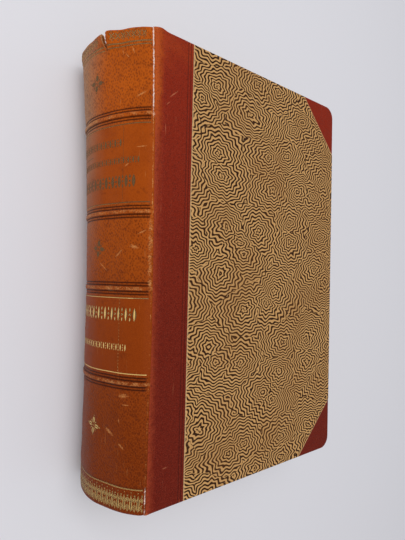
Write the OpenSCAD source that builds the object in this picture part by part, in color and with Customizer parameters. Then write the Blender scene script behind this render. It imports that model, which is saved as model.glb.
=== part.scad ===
// Antique half-leather book, lying on its back cover.
// X runs from the spine to the fore edge, Y from tail to head, Z up. The origin is on the
// outer face of the back cover, at the middle of the book's outline.

/* [Boards] */
// Height of each board, from tail to head
board_h = 219; // [120:1:320]
// Width of each board, from its spine edge to its fore edge
board_w = 133.7; // [80:1:220]
// Thickness of the cardboard
board_t = 2.8; // [1.5:0.1:5]
// Radius of the boards' two outer corners
corner_r = 6.5; // [2:0.5:12]
// Slot between the joint line and the board, which lets the leather hinge fold
joint_gap = 1.6; // [1.4:0.1:4]

/* [Pages] */
// Thickness of the sewn pages between the two flyleaves
text_t = 49.5; // [25:0.5:80]
// Overhang of the boards past the pages at head, tail and fore edge
square_w = 3.5; // [2:0.1:6]
// Depth of the hollow in the fore edge
fore_hollow = 6.5; // [2:0.5:9]
// Thickness of an endpaper leaf
leaf_t = 0.15; // [0.1:0.01:0.3]

/* [Covering] */
// Thickness of the leather on the spine
leather_t = 0.9; // [0.6:0.1:1.4]
// Thickness of the pared leather on the boards
pared_t = 0.5; // [0.3:0.05:0.9]
// Thickness of the leather where it is turned in
turn_in_t = 0.3; // [0.2:0.05:0.4]
// Thickness of the decorated paper
paper_t = 0.2; // [0.1:0.05:0.4]
// Width of the turned-in margins inside the boards
turn_in_w = 14; // [8:1:20]
// Width of the spine leather that shows on each board, from the joint line
side_leather_w = 18.3; // [10:0.5:40]
// Leg of each leather corner that shows
corner_leg = 31; // [22:1:45]
// Overlap of the paper on the edge of the leather
paper_lap = 2; // [1:0.5:4]
// Pitch of the rosettes printed on the paper
rosette_pitch = 24; // [14:1:40]
// Outer radius of a printed rosette
rosette_r = 6; // [3:0.5:6.5]
// Width of a printed stroke
stroke_w = 1; // [0.5:0.1:1.4]

/* [Spine] */
// How far the rounded spine stands out from the joint lines
spine_bulge = 16; // [10:0.5:20]
// Radius of the rounded shoulders beside the joints
shoulder_r = 6; // [5:0.5:12]
// Thickness of the card that stiffens the spine
inlay_t = 0.7; // [0.4:0.1:1.2]
// Length of the pulled-out part of the torn head, from the head edge
tear_l = 9; // [5:0.5:14]
// Width of the tear at the head edge
tear_w = 3; // [1:0.1:5]
// Angle by which the large torn flap is bent outwards
flap_angle = 27; // [5:1:45]
// Angle by which the small torn corner is bent outwards
ear_angle = 30; // [5:1:45]
// Hollow between the card and the lined back of the pages
hollow_t = 0.8; // [0.7:0.1:2]
// Thickness of the cloth lining
lining_t = 0.4; // [0.2:0.1:0.8]
// Depth of the sewing tapes let into the back of the pages
tape_t = 0.4; // [0.2:0.1:0.8]
// Width of a sewing tape
tape_w = 12; // [8:1:20]
// Diameter of the endband's bead
endband_d = 2.2; // [1.2:0.1:2.6]

/* [Tooling] */
// Centres of the four raised bands, from tail to head
band_y = [-52.1, -9.5, 25.4, 70.1];
// Width of a raised band
band_w = 2.2; // [1.5:0.1:5]
// Height of a raised band
band_rise = 0.5; // [0.2:0.1:0.8]
// Width of a blind-tooled line
blind_w = 0.5; // [0.3:0.1:1]
// Depth of a blind-tooled line
blind_depth = 0.25; // [0.1:0.05:0.4]
// Distance from a raised band to the first blind-tooled line beside it
blind_offset = 0.3; // [0.25:0.05:1]
// Pitch of the blind-tooled lines beside a band
blind_pitch = 1.3; // [0.8:0.05:2]
// Width of a gilt line
gilt_w = 0.5; // [0.3:0.1:1]
// Thickness of the gold as it stands on the leather
gilt_t = 0.08; // [0.05:0.01:0.2]

/* [Hidden] */
$fn = 96;

// Thin gaps where paste holds one curved layer on the next, and where a cover may swing
glue = 0.1;
swing_gap = 0.15;

// Heights of a cover's layers above the middle of the book's thickness
board_inner = text_t / 2 + leaf_t + swing_gap + leaf_t + turn_in_t;
board_outer = board_inner + board_t;
leather_outer = board_outer + pared_t;
paper_outer = leather_outer + paper_t;
pastedown_inner = board_inner - turn_in_t - leaf_t;
book_t = 2 * paper_outer;

// Places along X, counted from the joint line
board_x0 = joint_gap;
board_x1 = board_x0 + board_w;
cover_w = board_x1 + pared_t;
text_x0 = board_x0 - 0.6;
text_x1 = board_x1 - square_w;
text_h = board_h - 2 * square_w;
cover_h = board_h + 2 * pared_t;
leather_x1 = side_leather_w + paper_lap;
leather_leg = corner_leg + paper_lap;

// How far the tip of the torn flap stands out from the joint lines
flap_reach = spine_bulge - leather_t * (1 - cos(flap_angle)) + tear_l * sin(flap_angle);

// The joint line is placed so that the origin is in the middle of the book's outline
joint_x = (flap_reach - cover_w) / 2;

// Outline of the spine leather: one crown arc, and a tangent arc at each shoulder
half_back = leather_outer;
shoulder_z = half_back - shoulder_r;
// The crown radius for which the crown arc touches both shoulder arcs above the joint line
shoulder_x = -1.2;
crown_depth = spine_bulge + shoulder_x - shoulder_r;
crown_r = shoulder_r + (crown_depth * crown_depth + shoulder_z * shoulder_z) / (2 * crown_depth);
crown_x = crown_r - spine_bulge;
crown_angle = asin(shoulder_z / (crown_r - shoulder_r));
crown_half = crown_r * crown_angle * PI / 180;

// Depths below the outer face of the spine leather
inlay_d0 = leather_t + glue;
inlay_d1 = inlay_d0 + inlay_t;
flap_d0 = inlay_d1 + glue;
flap_d1 = flap_d0 + hollow_t - 2 * glue;
lining_d0 = flap_d1 + glue;
lining_d1 = lining_d0 + lining_t;
text_d = lining_d1 + glue;
shoulder_d = leather_t + 2 * glue;
inlay_half = shoulder_z + 2;

// Draws children in the plane of the book's cross-section, h long and centred on y
module across(h, y = 0)
    translate([joint_x, y, paper_outer])
        rotate([90, 0, 0])
            linear_extrude(height = h, center = true)
                children();

// The spine's outline at depth d, filled up to x_end past the joint line
module spine_form(d, x_end = 0) {
    top = half_back - d;
    far = 2 * crown_r;
    intersection() {
        union() {
            intersection() {
                translate([crown_x, 0]) circle(r = crown_r - d, $fn = 360);
                polygon([[crown_x, 0],
                         [crown_x - far, far * tan(crown_angle)],
                         [crown_x - far, -far * tan(crown_angle)]]);
            }
            for (side = [-1, 1])
                translate([shoulder_x, side * shoulder_z]) circle(r = shoulder_r - d);
            translate([shoulder_x, -top]) square([x_end - shoulder_x, 2 * top]);
        }
        translate([-2 * spine_bulge, -half_back]) square([2 * spine_bulge + x_end, 2 * half_back]);
    }
}

// A layer of the spine between two depths, kept within half_z of the middle
module spine_layer(d0, d1, half_z, x_end = 0)
    intersection() {
        difference() {
            spine_form(d0, x_end);
            spine_form(d1, x_end + 1);
        }
        translate([-2 * spine_bulge, -half_z]) square([2 * spine_bulge + x_end, 2 * half_z]);
    }

// A band across the section, between two heights on one side of the middle
module height_band(z0, z1)
    translate([-2 * spine_bulge, z0]) square([2 * spine_bulge + text_x0, z1 - z0]);

// The pages, rounded and backed, with a shoulder on each side and a hollow fore edge
module text_section() {
    // the hollow stops short of the outermost leaves, which keep a narrow flat edge
    hollow_half = text_t / 2 - 0.6;
    fore_r = (hollow_half * hollow_half + fore_hollow * fore_hollow) / (2 * fore_hollow);
    back_half = inlay_half + 1;
    shoulder_top = half_back - shoulder_d;
    difference() {
        union() {
            intersection() {
                translate([crown_x, 0]) circle(r = crown_r - text_d, $fn = 360);
                height_band(-back_half, back_half);
            }
            for (side = [-1, 1])
                mirror([0, side > 0 ? 0 : 1]) {
                    intersection() {
                        translate([shoulder_x, shoulder_z]) circle(r = shoulder_r - shoulder_d);
                        height_band(back_half, half_back);
                    }
                    translate([shoulder_x, back_half - 1])
                        square([text_x0 - shoulder_x, shoulder_top - back_half + 1]);
                }
            translate([-0.8, -text_t / 2]) square([text_x1 + 0.8, text_t]);
        }
        translate([text_x1 - fore_hollow + fore_r, 0]) circle(r = fore_r, $fn = 360);
    }
}

tape_ys = [for (i = [-1.5, -0.5, 0.5, 1.5]) i * text_h / 4.6];

module text_block()
    color("antiquewhite")
        difference() {
            across(text_h) text_section();
            for (y = tape_ys)
                across(tape_w, y) spine_layer(text_d - glue, text_d + tape_t, inlay_half);
        }

module flyleaf(side)
    color("oldlace")
        translate([joint_x + text_x0, -text_h / 2,
                   paper_outer + (side > 0 ? text_t / 2 : -text_t / 2 - leaf_t)])
            cube([text_x1 - text_x0, text_h, leaf_t]);

module sewing_tapes()
    color("wheat")
        for (y = tape_ys)
            across(tape_w - 2 * glue, y)
                spine_layer(text_d, text_d + tape_t - glue, inlay_half - glue);

// Depth of the cloth skirt that hangs below each endband on the back of the pages
skirt_h = 8;

module spine_lining()
    color("linen")
        across(text_h - 2 * skirt_h - 2 * glue) spine_layer(lining_d0, lining_d1, inlay_half);

// A striped bead on the edge of the pages, with its skirt pasted to their back
module endband(side) {
    bead_r = endband_d / 2;
    bead_angle = asin((inlay_half - bead_r) / crown_r);
    bead_y = text_h / 2 + bead_r + glue;
    // the bead lies a little deeper than the skirt's face, which it grows out of
    bead_inset = 0.06;
    union() {
        color("maroon")
            translate([joint_x + crown_x + bead_inset, side * bead_y, paper_outer])
                rotate([90, 0, 0])
                    rotate([0, 0, 180 - bead_angle])
                        rotate_extrude(angle = 2 * bead_angle, $fn = 360)
                            translate([crown_r - lining_d0 - bead_r, 0]) circle(r = bead_r, $fn = 32);
        color("linen")
            across(skirt_h + bead_r + glue, side * (bead_y - (skirt_h + bead_r + glue) / 2))
                spine_layer(lining_d0, lining_d1 - glue, inlay_half - bead_r);
    }
}

// The card ends below the torn part of the head
inlay_y0 = -cover_h / 2 + leather_t + glue;
inlay_y1 = cover_h / 2 - tear_l - 2;

module spine_inlay()
    color("tan")
        across(inlay_y1 - inlay_y0, (inlay_y0 + inlay_y1) / 2)
            spine_layer(inlay_d0, inlay_d1, inlay_half);

module band_strips()
    color("tan")
        for (y = band_y)
            across(band_w - 2 * glue, y)
                spine_layer(leather_t - band_rise + glue, leather_t, inlay_half);

// The head of the spine is torn. A slit runs down from the edge. On its low side a large flap is
// bent outwards, and on its high side a corner is folded outwards, like a dog-ear. The flap keeps
// a margin from the low shoulder.
tear_z = 5;
flap_margin = 4.2;
flap_z = shoulder_z - flap_margin;
ear_z = 15;
tear_y = cover_h / 2 - tear_l;

// Distance of the crown's inner face from the joint line, z above the middle
function crown_inside(z) = crown_x - sqrt(crown_r * crown_r - z * z) + leather_t;

module tear_slit()
    translate([joint_x - 2 * spine_bulge, tear_y, paper_outer + tear_z])
        rotate([0, 90, 0])
            linear_extrude(height = 2 * spine_bulge)
                polygon([[0, -0.6], [-tear_w / 2, tear_l + 1], [tear_w / 2, tear_l + 1]]);

// The flap's own outline, from grow below its root and clear of its far edge by gap
module flap_zone(grow, gap = 0)
    translate([joint_x - 2 * spine_bulge, tear_y - grow, paper_outer - flap_z - gap])
        cube([2 * spine_bulge, tear_l + 1 + grow, flap_z + tear_z + gap]);

// The fold of the corner runs from the foot of the tear up to the head edge
ear_fold = [ear_z - tear_z, tear_l];

module ear_zone(grow)
    translate([joint_x - 2 * spine_bulge, tear_y, paper_outer + tear_z])
        rotate([0, 90, 0])
            linear_extrude(height = 2 * spine_bulge)
                polygon([[0, -grow], [-ear_fold[0] - grow, ear_fold[1]],
                         [-ear_fold[0] - grow, tear_l + 1], [0, tear_l + 1]]);

// Turns children about a line at the foot of the tear, through the crown's inner face at z
module bent(angle, line, z)
    translate([joint_x + crown_inside(z), tear_y, paper_outer + z])
        rotate(a = angle, v = line)
            translate([-joint_x - crown_inside(z), -tear_y, -paper_outer - z])
                children();

// Tears the head of whatever lies on the spine. Its bent parts reach past their fold by overlap,
// and the rest ends short of the fold by clear.
module torn_head(overlap, clear = 0) {
    difference() {
        children();
        flap_zone(clear, 2 * glue + clear);
        ear_zone(clear);
        tear_slit();
    }
    bent(flap_angle, [0, 0, 1], -flap_z / 3)
        difference() {
            intersection() {
                children();
                flap_zone(overlap);
            }
            tear_slit();
        }
    bent(ear_angle, [crown_inside(ear_z) - crown_inside(tear_z), ear_fold[1], ear_fold[0]], tear_z)
        difference() {
            intersection() {
                children();
                ear_zone(overlap);
            }
            tear_slit();
        }
}

module spine_skin() {
    union() {
        across(cover_h) spine_layer(0, leather_t, half_back, -swing_gap);
        for (y = band_y)
            across(band_w, y) spine_layer(-band_rise, leather_t - band_rise, half_back - 1, -swing_gap - 1);
        for (side = [-1, 1]) {
            across(leather_t, side * (cover_h - leather_t) / 2)
                spine_layer(0, flap_d1, inlay_half);
            across(turn_in_w, side * (cover_h - turn_in_w) / 2)
                spine_layer(flap_d0, flap_d1, inlay_half);
        }
    }
}

module blind_lines()
    for (y = band_y, side = [-1, 1], i = [0, 1])
        across(blind_w, y + side * (band_w / 2 + blind_offset + i * blind_pitch))
            spine_layer(-band_rise, blind_depth, half_back - 1, -swing_gap - 1);

module spine_leather()
    color("peru")
        difference() {
            torn_head(leather_t / 2) spine_skin();
            blind_lines();
            for (y = band_y)
                across(band_w - glue, y)
                    spine_layer(leather_t - band_rise, leather_t + 1, inlay_half + glue);
        }

// The gold is rubbed off the folds of the torn head, this far to each side
rubbed = 0.7;

// A gilt line round the spine at y, which ends short of the ridges beside the joints
module gilt_ring(y)
    across(gilt_w, y) spine_layer(-gilt_t, 0, half_back - 1.5, -4);

// Heights of the rolls and their places from the edges of the leather
head_roll_y = 2.8;
head_leaf_h = 2.8;
head_leaf_w = 2;
tail_roll_y = 2;
tail_leaf_h = 8.2;
tail_leaf_w = 1.6;
// Distance of the gilt lines from the tools or the blind lines beside them
line_gap = 1;
line_pitch = 1.4;

// A line on the title panels' side of each band, two at the head and one at the tail
title_edge = band_w / 2 + blind_offset + blind_pitch + blind_w / 2 + line_gap + gilt_w / 2;
title_lines = [for (i = [0 : 3]) band_y[i] + (i % 2 == 0 ? 1 : -1) * title_edge];
head_line = cover_h / 2 - head_roll_y - head_leaf_h - line_gap;
head_lines = [head_line, head_line - line_pitch];
tail_line = -cover_h / 2 + tail_roll_y + tail_leaf_h + line_gap + gilt_w / 2;

module gilt_lines()
    color("goldenrod")
        union() {
            for (y = concat(title_lines, [tail_line])) gilt_ring(y);
            torn_head(-rubbed, rubbed)
                for (y = head_lines) gilt_ring(y);
        }

// Places children on the spine's surface, s along the curve from its middle, with local Z outwards
// and local Y towards the head
module on_spine(s, y) {
    over = abs(s) > crown_half;
    turn = over ? crown_angle + (abs(s) - crown_half) / shoulder_r * 180 / PI
                : abs(s) / crown_r * 180 / PI;
    translate([joint_x + (over ? shoulder_x : crown_x), y,
               paper_outer + (over ? sign(s) * shoulder_z : 0)])
        rotate([0, sign(s) * turn, 0])
            translate([-(over ? shoulder_r : crown_r), 0, 0])
                rotate([0, -90, 0])
                    children();
}

module tool(x, y = 0)
    on_spine(x, y) translate([0, 0, gilt_t / 4]) linear_extrude(height = gilt_t) children();

roll_half = crown_half + 6;
head_pitch = 2.4;
tail_pitch = 3.6;
head_tools = floor(roll_half / head_pitch);
tail_tools = floor(roll_half / tail_pitch);

// The head roll is rubbed away where the leather is torn or folded
function roll_kept(s) =
    abs(s - tear_z) > tear_w && abs(s - (tear_z + ear_z) / 2 - 0.6) > 2 && abs(s + flap_z) > 1.5;

module gilt_head_roll()
    color("goldenrod")
        torn_head(-rubbed, rubbed)
            for (i = [-head_tools : head_tools])
                if (roll_kept(i * head_pitch))
                    tool(i * head_pitch, cover_h / 2 - head_roll_y - head_leaf_h)
                        polygon([[-head_leaf_w / 2, 0], [head_leaf_w / 2, 0], [0, head_leaf_h]]);

// A tall leaf between two small ones, drawn upwards from its foot
module tail_leaf() {
    polygon([[0, 0], [tail_leaf_w / 2, 0.36 * tail_leaf_h], [0, tail_leaf_h],
             [-tail_leaf_w / 2, 0.36 * tail_leaf_h]]);
    for (side = [-1, 1])
        translate([side * tail_pitch / 3, 0])
            polygon([[0, 0.5 * tail_leaf_h], [0.22 * tail_leaf_w, 0.75 * tail_leaf_h],
                     [0, tail_leaf_h], [-0.22 * tail_leaf_w, 0.75 * tail_leaf_h]]);
}

module gilt_tail_roll()
    color("goldenrod")
        for (i = [-tail_tools : tail_tools])
            tool(i * tail_pitch, -cover_h / 2 + tail_roll_y) tail_leaf();

// Distance from a fleuron's middle to the tips of its petals
fleuron_r = 4.2;

// Four petals round a dot, with a small dot in each corner between them
module fleuron() {
    for (a = [0 : 90 : 270])
        rotate(a)
            polygon([[0, 0.2 * fleuron_r], [0.26 * fleuron_r, 0.57 * fleuron_r], [0, fleuron_r],
                     [-0.26 * fleuron_r, 0.57 * fleuron_r]]);
    for (a = [45 : 90 : 315])
        rotate(a) translate([0, 0.48 * fleuron_r]) circle(r = 0.12 * fleuron_r, $fn = 16);
    circle(r = 0.14 * fleuron_r, $fn = 16);
}

panel_edges = concat([tail_line], band_y, [head_lines[1]]);
function panel_mid(i) = (panel_edges[i] + panel_edges[i + 1]) / 2;

module gilt_fleurons()
    color("goldenrod")
        for (i = [0, 2, 4])
            tool(0, panel_mid(i)) fleuron();

// Half the width of the frames on the title panels
title_half = 17.6;
lozenge_pitch = 4.4;
lozenge_h = 4.8;

module lozenge(h)
    polygon([[0, -h / 2], [0.27 * h, 0], [0, h / 2], [-0.27 * h, 0]]);

// A frame with a row of large and a row of small lozenges
module gilt_title_frames()
    color("goldenrod")
        for (i = [1, 3]) {
            mid = panel_mid(i);
            frame_h = panel_edges[i + 1] - panel_edges[i] - 2 * title_edge - 2 * gilt_w;
            for (side = [-1, 1])
                tool(side * title_half, mid) square([gilt_w, frame_h], center = true);
            for (k = [-3 : 3])
                tool(k * lozenge_pitch, mid + frame_h / 5) lozenge(lozenge_h);
            for (k = [-2 : 2])
                tool(k * lozenge_pitch, mid - frame_h / 4) lozenge(0.6 * lozenge_h);
        }

// Mirrors children for the back cover: local Z is counted outwards from the book's middle
module cover_space(side)
    translate([joint_x, 0, paper_outer])
        mirror([0, 0, side > 0 ? 0 : 1])
            children();

// A slab with the boards' two rounded outer corners, grown by g all round but at the spine
module cover_slab(z0, z1, g) {
    r = corner_r + g;
    x1 = board_x1 + g;
    h = board_h + 2 * g;
    translate([0, 0, z0])
        linear_extrude(height = z1 - z0)
            union() {
                translate([board_x0, -h / 2]) square([x1 - r - board_x0, h]);
                translate([x1 - r - 1, -h / 2 + r]) square([r + 1, h - 2 * r]);
                for (end = [-1, 1])
                    translate([x1 - r, end * (h / 2 - r)]) circle(r = r);
            }
}

// How far the end of each sewing tape runs on under the lining of the board
slip_l = 24;

module slip_bars(grow, depth)
    for (y = tape_ys)
        translate([board_x0 - grow, y - tape_w / 2 - grow, board_inner])
            cube([slip_l + 2 * grow, tape_w + 2 * grow, depth]);

module board(side)
    color("burlywood")
        cover_space(side)
            difference() {
                cover_slab(board_inner, board_outer, 0);
                slip_bars(glue, tape_t + glue);
            }

module tape_slips(side)
    color("wheat")
        cover_space(side) slip_bars(0, tape_t);

// Everything of the cover past a line across each outer corner, a leg long on both edges
module corner_prism(end, leg) {
    x = cover_w;
    y = cover_h / 2;
    linear_extrude(height = book_t)
        polygon([[x + 1, end * (y + 1)], [x + 1, end * (y - leg - 1)], [x - leg - 1, end * (y + 1)]]);
}

// A skin of thickness t round the board, with its outer face at z1 and its margins turned in
module wrap(t, inner_t, z1) {
    difference() {
        cover_slab(board_inner - inner_t, z1, t);
        cover_slab(board_inner, board_outer, 0);
        // inside the margins the board's inner face is left bare
        translate([board_x0 - 1, -board_h / 2 + turn_in_w, board_inner - inner_t - 1])
            cube([board_w + 1 - turn_in_w, board_h - 2 * turn_in_w, inner_t + 1]);
    }
}

module corner(side, end)
    color("saddlebrown")
        cover_space(side)
            intersection() {
                wrap(pared_t, turn_in_t, leather_outer);
                corner_prism(end, leather_leg);
            }

module side_leather(side)
    color("brown")
        cover_space(side)
            union() {
                intersection() {
                    wrap(pared_t, turn_in_t, leather_outer);
                    translate([0, -board_h, 0]) cube([leather_x1, 2 * board_h, book_t]);
                }
                // the strip over the joint, which bends as the cover opens
                translate([swing_gap, -cover_h / 2, board_outer])
                    cube([board_x0 - swing_gap, cover_h, pared_t]);
            }

// Plan of the area between the spine leather and the leather corners, grown by g past the board.
// Each leg is counted along the cover's edges from the square corner of the leather.
module between_leather(x0, leg, g) {
    x1 = board_x1 + g;
    y = board_h / 2 + g;
    cut = cover_w + cover_h / 2 - leg;
    polygon([[x0, -y], [cut - y, -y], [x1, x1 - cut], [x1, cut - x1], [cut - y, y], [x0, y]]);
}

module infill(side)
    color("tan")
        cover_space(side)
            translate([0, 0, board_outer])
                linear_extrude(height = pared_t)
                    between_leather(leather_x1 + glue, leather_leg + 2 * glue, 0);

// The print of the paper, as staggered rosettes of two rings, let flush into its outer face
module print_plan()
    for (i = [0 : floor(board_w / rosette_pitch)], j = [-20 : 20]) {
        x = side_leather_w + (i + 0.6) * rosette_pitch;
        y = (j + (i % 2) / 2) * rosette_pitch;
        in_x = x < board_x1 - rosette_r - 1;
        in_y = abs(y) < board_h / 2 - rosette_r - 1;
        in_leg = board_x1 - x + board_h / 2 - abs(y) > corner_leg + 1.5 * rosette_r;
        if (in_x && in_y && in_leg)
            for (r = [rosette_r, rosette_r / 2])
                translate([x, y])
                    difference() {
                        circle(r = r, $fn = 24);
                        circle(r = r - stroke_w, $fn = 24);
                    }
    }

module print_solid()
    translate([0, 0, paper_outer - paper_t / 2])
        linear_extrude(height = paper_t / 2)
            print_plan();

module paper_print(side)
    color("saddlebrown")
        cover_space(side) print_solid();

module paper_side(side)
    color("darkkhaki")
        cover_space(side)
            union() {
                difference() {
                    translate([0, 0, leather_outer])
                        linear_extrude(height = paper_t)
                            between_leather(side_leather_w, corner_leg, paper_t);
                    print_solid();
                }
                intersection() {
                    difference() {
                        wrap(paper_t, paper_t, leather_outer);
                        translate([0, -board_h / 2, board_outer - 1])
                            cube([board_x1, board_h, pared_t + 2]);
                    }
                    linear_extrude(height = book_t)
                        between_leather(leather_x1 + glue, leather_leg + 2 * glue, 1);
                }
            }

module pastedown(side)
    color("oldlace")
        cover_space(side)
            difference() {
                translate([board_x0, -text_h / 2, pastedown_inner])
                    cube([text_x1 - board_x0, text_h, leaf_t + turn_in_t]);
                for (end = [-1, 1])
                    intersection() {
                        wrap(pared_t, turn_in_t, leather_outer);
                        corner_prism(end, leather_leg);
                    }
                intersection() {
                    wrap(pared_t, turn_in_t, leather_outer);
                    translate([0, -board_h, 0]) cube([leather_x1, 2 * board_h, book_t]);
                }
                wrap(paper_t, paper_t, leather_outer);
            }

text_block();
flyleaf(1);  // front_flyleaf
flyleaf(-1);  // back_flyleaf
sewing_tapes();
spine_lining();
endband(1);  // head_endband
endband(-1);  // tail_endband
spine_inlay();
band_strips();
spine_leather();
gilt_lines();
gilt_head_roll();
gilt_tail_roll();
gilt_fleurons();
gilt_title_frames();
board(1);  // front_board
tape_slips(1);  // front_tape_slips
infill(1);  // front_infill
side_leather(1);  // front_side_leather
corner(1, 1);  // front_head_corner
corner(1, -1);  // front_tail_corner
paper_side(1);  // front_paper_side
paper_print(1);  // front_paper_print
pastedown(1);  // front_pastedown
board(-1);  // back_board
tape_slips(-1);  // back_tape_slips
infill(-1);  // back_infill
side_leather(-1);  // back_side_leather
corner(-1, 1);  // back_head_corner
corner(-1, -1);  // back_tail_corner
paper_side(-1);  // back_paper_side
paper_print(-1);  // back_paper_print
pastedown(-1);  // back_pastedown
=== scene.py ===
import math

import bpy
import numpy as np
from mathutils import Matrix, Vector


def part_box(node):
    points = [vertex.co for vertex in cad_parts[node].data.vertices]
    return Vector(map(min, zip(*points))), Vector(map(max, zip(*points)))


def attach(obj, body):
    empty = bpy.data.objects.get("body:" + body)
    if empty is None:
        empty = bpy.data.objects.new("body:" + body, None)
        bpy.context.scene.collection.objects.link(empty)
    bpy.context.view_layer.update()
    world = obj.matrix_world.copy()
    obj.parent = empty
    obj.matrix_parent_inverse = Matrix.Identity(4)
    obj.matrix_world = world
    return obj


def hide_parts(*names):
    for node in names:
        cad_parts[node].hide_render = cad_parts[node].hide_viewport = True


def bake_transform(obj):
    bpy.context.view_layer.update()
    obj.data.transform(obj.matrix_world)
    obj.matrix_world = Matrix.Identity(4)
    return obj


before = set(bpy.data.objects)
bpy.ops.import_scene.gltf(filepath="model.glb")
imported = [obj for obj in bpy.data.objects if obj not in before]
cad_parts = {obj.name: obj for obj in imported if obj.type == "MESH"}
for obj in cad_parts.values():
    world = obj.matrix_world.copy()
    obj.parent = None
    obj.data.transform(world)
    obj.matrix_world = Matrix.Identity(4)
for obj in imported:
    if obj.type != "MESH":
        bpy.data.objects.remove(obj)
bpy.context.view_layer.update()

# Sizes in millimetres: X from the joint line, Y towards the head, Z from the middle of the book
MM = 0.001
SLOT = 1.6            # from the joint line to the boards
LEATHER = 0.9         # leather on the spine
PARED = 0.5           # leather on the boards
TURNED = 0.3          # the boards' leather where it is turned in
THINNEST = 0.6        # the spine's leather where it is turned in
CARD = 0.9            # card in the spine, with its paste
PAPER = 0.2           # patterned paper
PASTE = 0.1           # gap of a pasted curved layer
TURN_IN = 14.0        # width of the turned-in margins
EDGE_R = 0.45         # bend of the leather over a board's edge
CORNER_R = 6.5        # rounding of a board's corner
SHOULDER_R = 6.0      # rounding beside the joints
SHOULDER_X = -1.2
COVERS = (("front", 1), ("back", -1))


def low(node, axis):
    """Lowest place of a CAD node along an axis, in millimetres."""
    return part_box(node)[0][axis] / MM


def high(node, axis):
    """Highest place of a CAD node along an axis, in millimetres."""
    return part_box(node)[1][axis] / MM


JOINT_X = low("front_board", 0) - SLOT
MID_Z = (high("front_board", 2) + low("back_board", 2)) / 2
BOARD_IN = low("front_board", 2) - MID_Z
BOARD_X1 = high("front_board", 0) - JOINT_X
BOARD_Y1 = high("front_board", 1)
LEATHER_Z = high("front_side_leather", 2) - MID_Z
PAPER_Z = high("front_paper_side", 2) - MID_Z
COVER_Y = high("front_side_leather", 1)
COVER_X = high("front_head_corner", 0) - JOINT_X
PAPER_X0 = low("front_paper_side", 0) - JOINT_X
SIDE_X1 = high("front_side_leather", 0) - JOINT_X
TEXT_Y = high("text_block", 1)
TEXT_X1 = high("text_block", 0) - JOINT_X
TEXT_HALF = low("front_flyleaf", 2) - MID_Z
BULGE = JOINT_X - low("spine_inlay", 0) + LEATHER + PASTE
LINING = low("spine_lining", 0) - JOINT_X + BULGE         # how deep in the spine the lining lies
LEG = COVER_X + JOINT_X - low("front_head_corner", 0)     # leg of a corner, under the paper too
PAPER_CUT = COVER_X + COVER_Y - LEG + 2.0                 # x + |y| on the paper's slanting edges
WRAP = LEATHER_Z - PARED / 2 - BOARD_IN + TURNED / 2      # how far leather goes down an edge

# The spine's outline: one crown arc and a tangent arc at each shoulder
SHOULDER_Z = LEATHER_Z - SHOULDER_R
_depth = BULGE + SHOULDER_X - SHOULDER_R
CROWN_R = SHOULDER_R + (_depth ** 2 + SHOULDER_Z ** 2) / (2 * _depth)
CROWN_X = CROWN_R - BULGE
CROWN_ANGLE = math.asin(SHOULDER_Z / (CROWN_R - SHOULDER_R))
CROWN_HALF = CROWN_R * CROWN_ANGLE
STRAIGHT = CROWN_HALF + (math.pi / 2 - CROWN_ANGLE) * SHOULDER_R

BANDS = np.array([-52.1, -9.5, 25.4, 70.1])   # middles of the raised bands
BAND_W, BAND_H = 2.2, 0.42
BAND_ROWS = 4.2                               # the grid is fine this far from a band's middle
BLIND = (1.35, 2.65)                          # blind lines from a band's middle
TITLE_EDGE = 4.3                              # gilt line from a band's middle
HEAD_LINES = (103.4, 102.0)                   # gilt lines at the head
TAIL_LINE = -98.5                             # and at the tail
HEAD_RISE = (98, 109)                         # the worn head edge rises from here to there
SIDE_LINES = (15.3, 16.9)                     # blind lines on the board's leather
WAVE, WAVE_H = 4.8, 0.66                      # waves of the paper's lines: length and height
LINE_STEP, RING_FIELD = 1.72, 20.0            # from line to line, and between the rings' centres
STRETCH = 1.3                                 # the pattern is this much wider than high
TITLE_HALF = 17.6                             # uprights beside the title fields
GOLD_OVER, GOLD_DEEP = 0.05, 0.11             # gold above the leather, and its thickness
# Rows of lozenges in the title fields: middle height, height, step, first and last place
TITLE_ROWS = ((57.5, 3.9, 3.0, -17, 18), (49.2, 3.2, 2.6, -16, 28), (39.5, 6.0, 4.0, -16.5, 26),
              (-21.3, 6.2, 4.2, -16.5, 29), (-36.3, 3.2, 2.6, -15, 24.5))
FLOWERS = ((0.8, 88.2), (2.9, 8.8), (2.6, -74.2))      # their middles, s and y
RIDGE = 32.6                                  # the ridge between spine and side, along the curve
TEAR_S, TEAR_Y, TEAR_W = 6.0, 101.0, 4.4      # the tear at the head: place, foot and width
HOLLOW = 6.5                                  # depth of the hollow fore edge
FLAT_X = 9.0                                  # from here on the pages are level
PAGES_IN, PAGES_FAN = 3.1, 2.95               # their back inside the outline, and its spread
BEAD_R = 1.05                                 # bead of an endband
THREAD_STEP = 0.45                            # from turn to turn of its thread
# Scratches and rubbed spots on the spine, from s, y to s, y, and their width
SPINE_RUBS = ((15.2, 102.5, 17.0, 97.0, 0.5), (20.2, 103.0, 23.2, 96.5, 0.7),
              (16.0, 100.5, 21.0, 95.2, 0.5), (21.5, 77.0, 31.5, 81.2, 1.0),
              (22.5, 54.6, 31.8, 55.3, 0.6), (18.0, 45.6, 21.3, 48.2, 0.7),
              (24.5, 14.4, 31.4, 17.8, 0.8), (1.5, 4.2, 11.4, -3.4, 0.55),
              (12.6, 3.2, 19.8, 9.4, 0.9), (20.5, 10.2, 28.5, 8.6, 1.6),
              (8.0, -72.2, 18.2, -77.5, 1.4), (17.8, -78.0, 23.4, -82.6, 0.9),
              (18.6, -61.8, 26.4, -61.8, 0.5), (18.8, -67.0, 19.2, -71.5, 0.5),
              (16.5, -58.4, 25.4, -57.4, 1.7))
# The same on the board's leather, from X, Y to X, Y
SIDE_RUBS = ((2.2, 77.4, 12.2, 86.4, 0.6), (1.5, 74.2, 6.5, 79.0, 0.4),
             (3.4, -91.8, 11.0, -91.0, 0.5))


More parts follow.
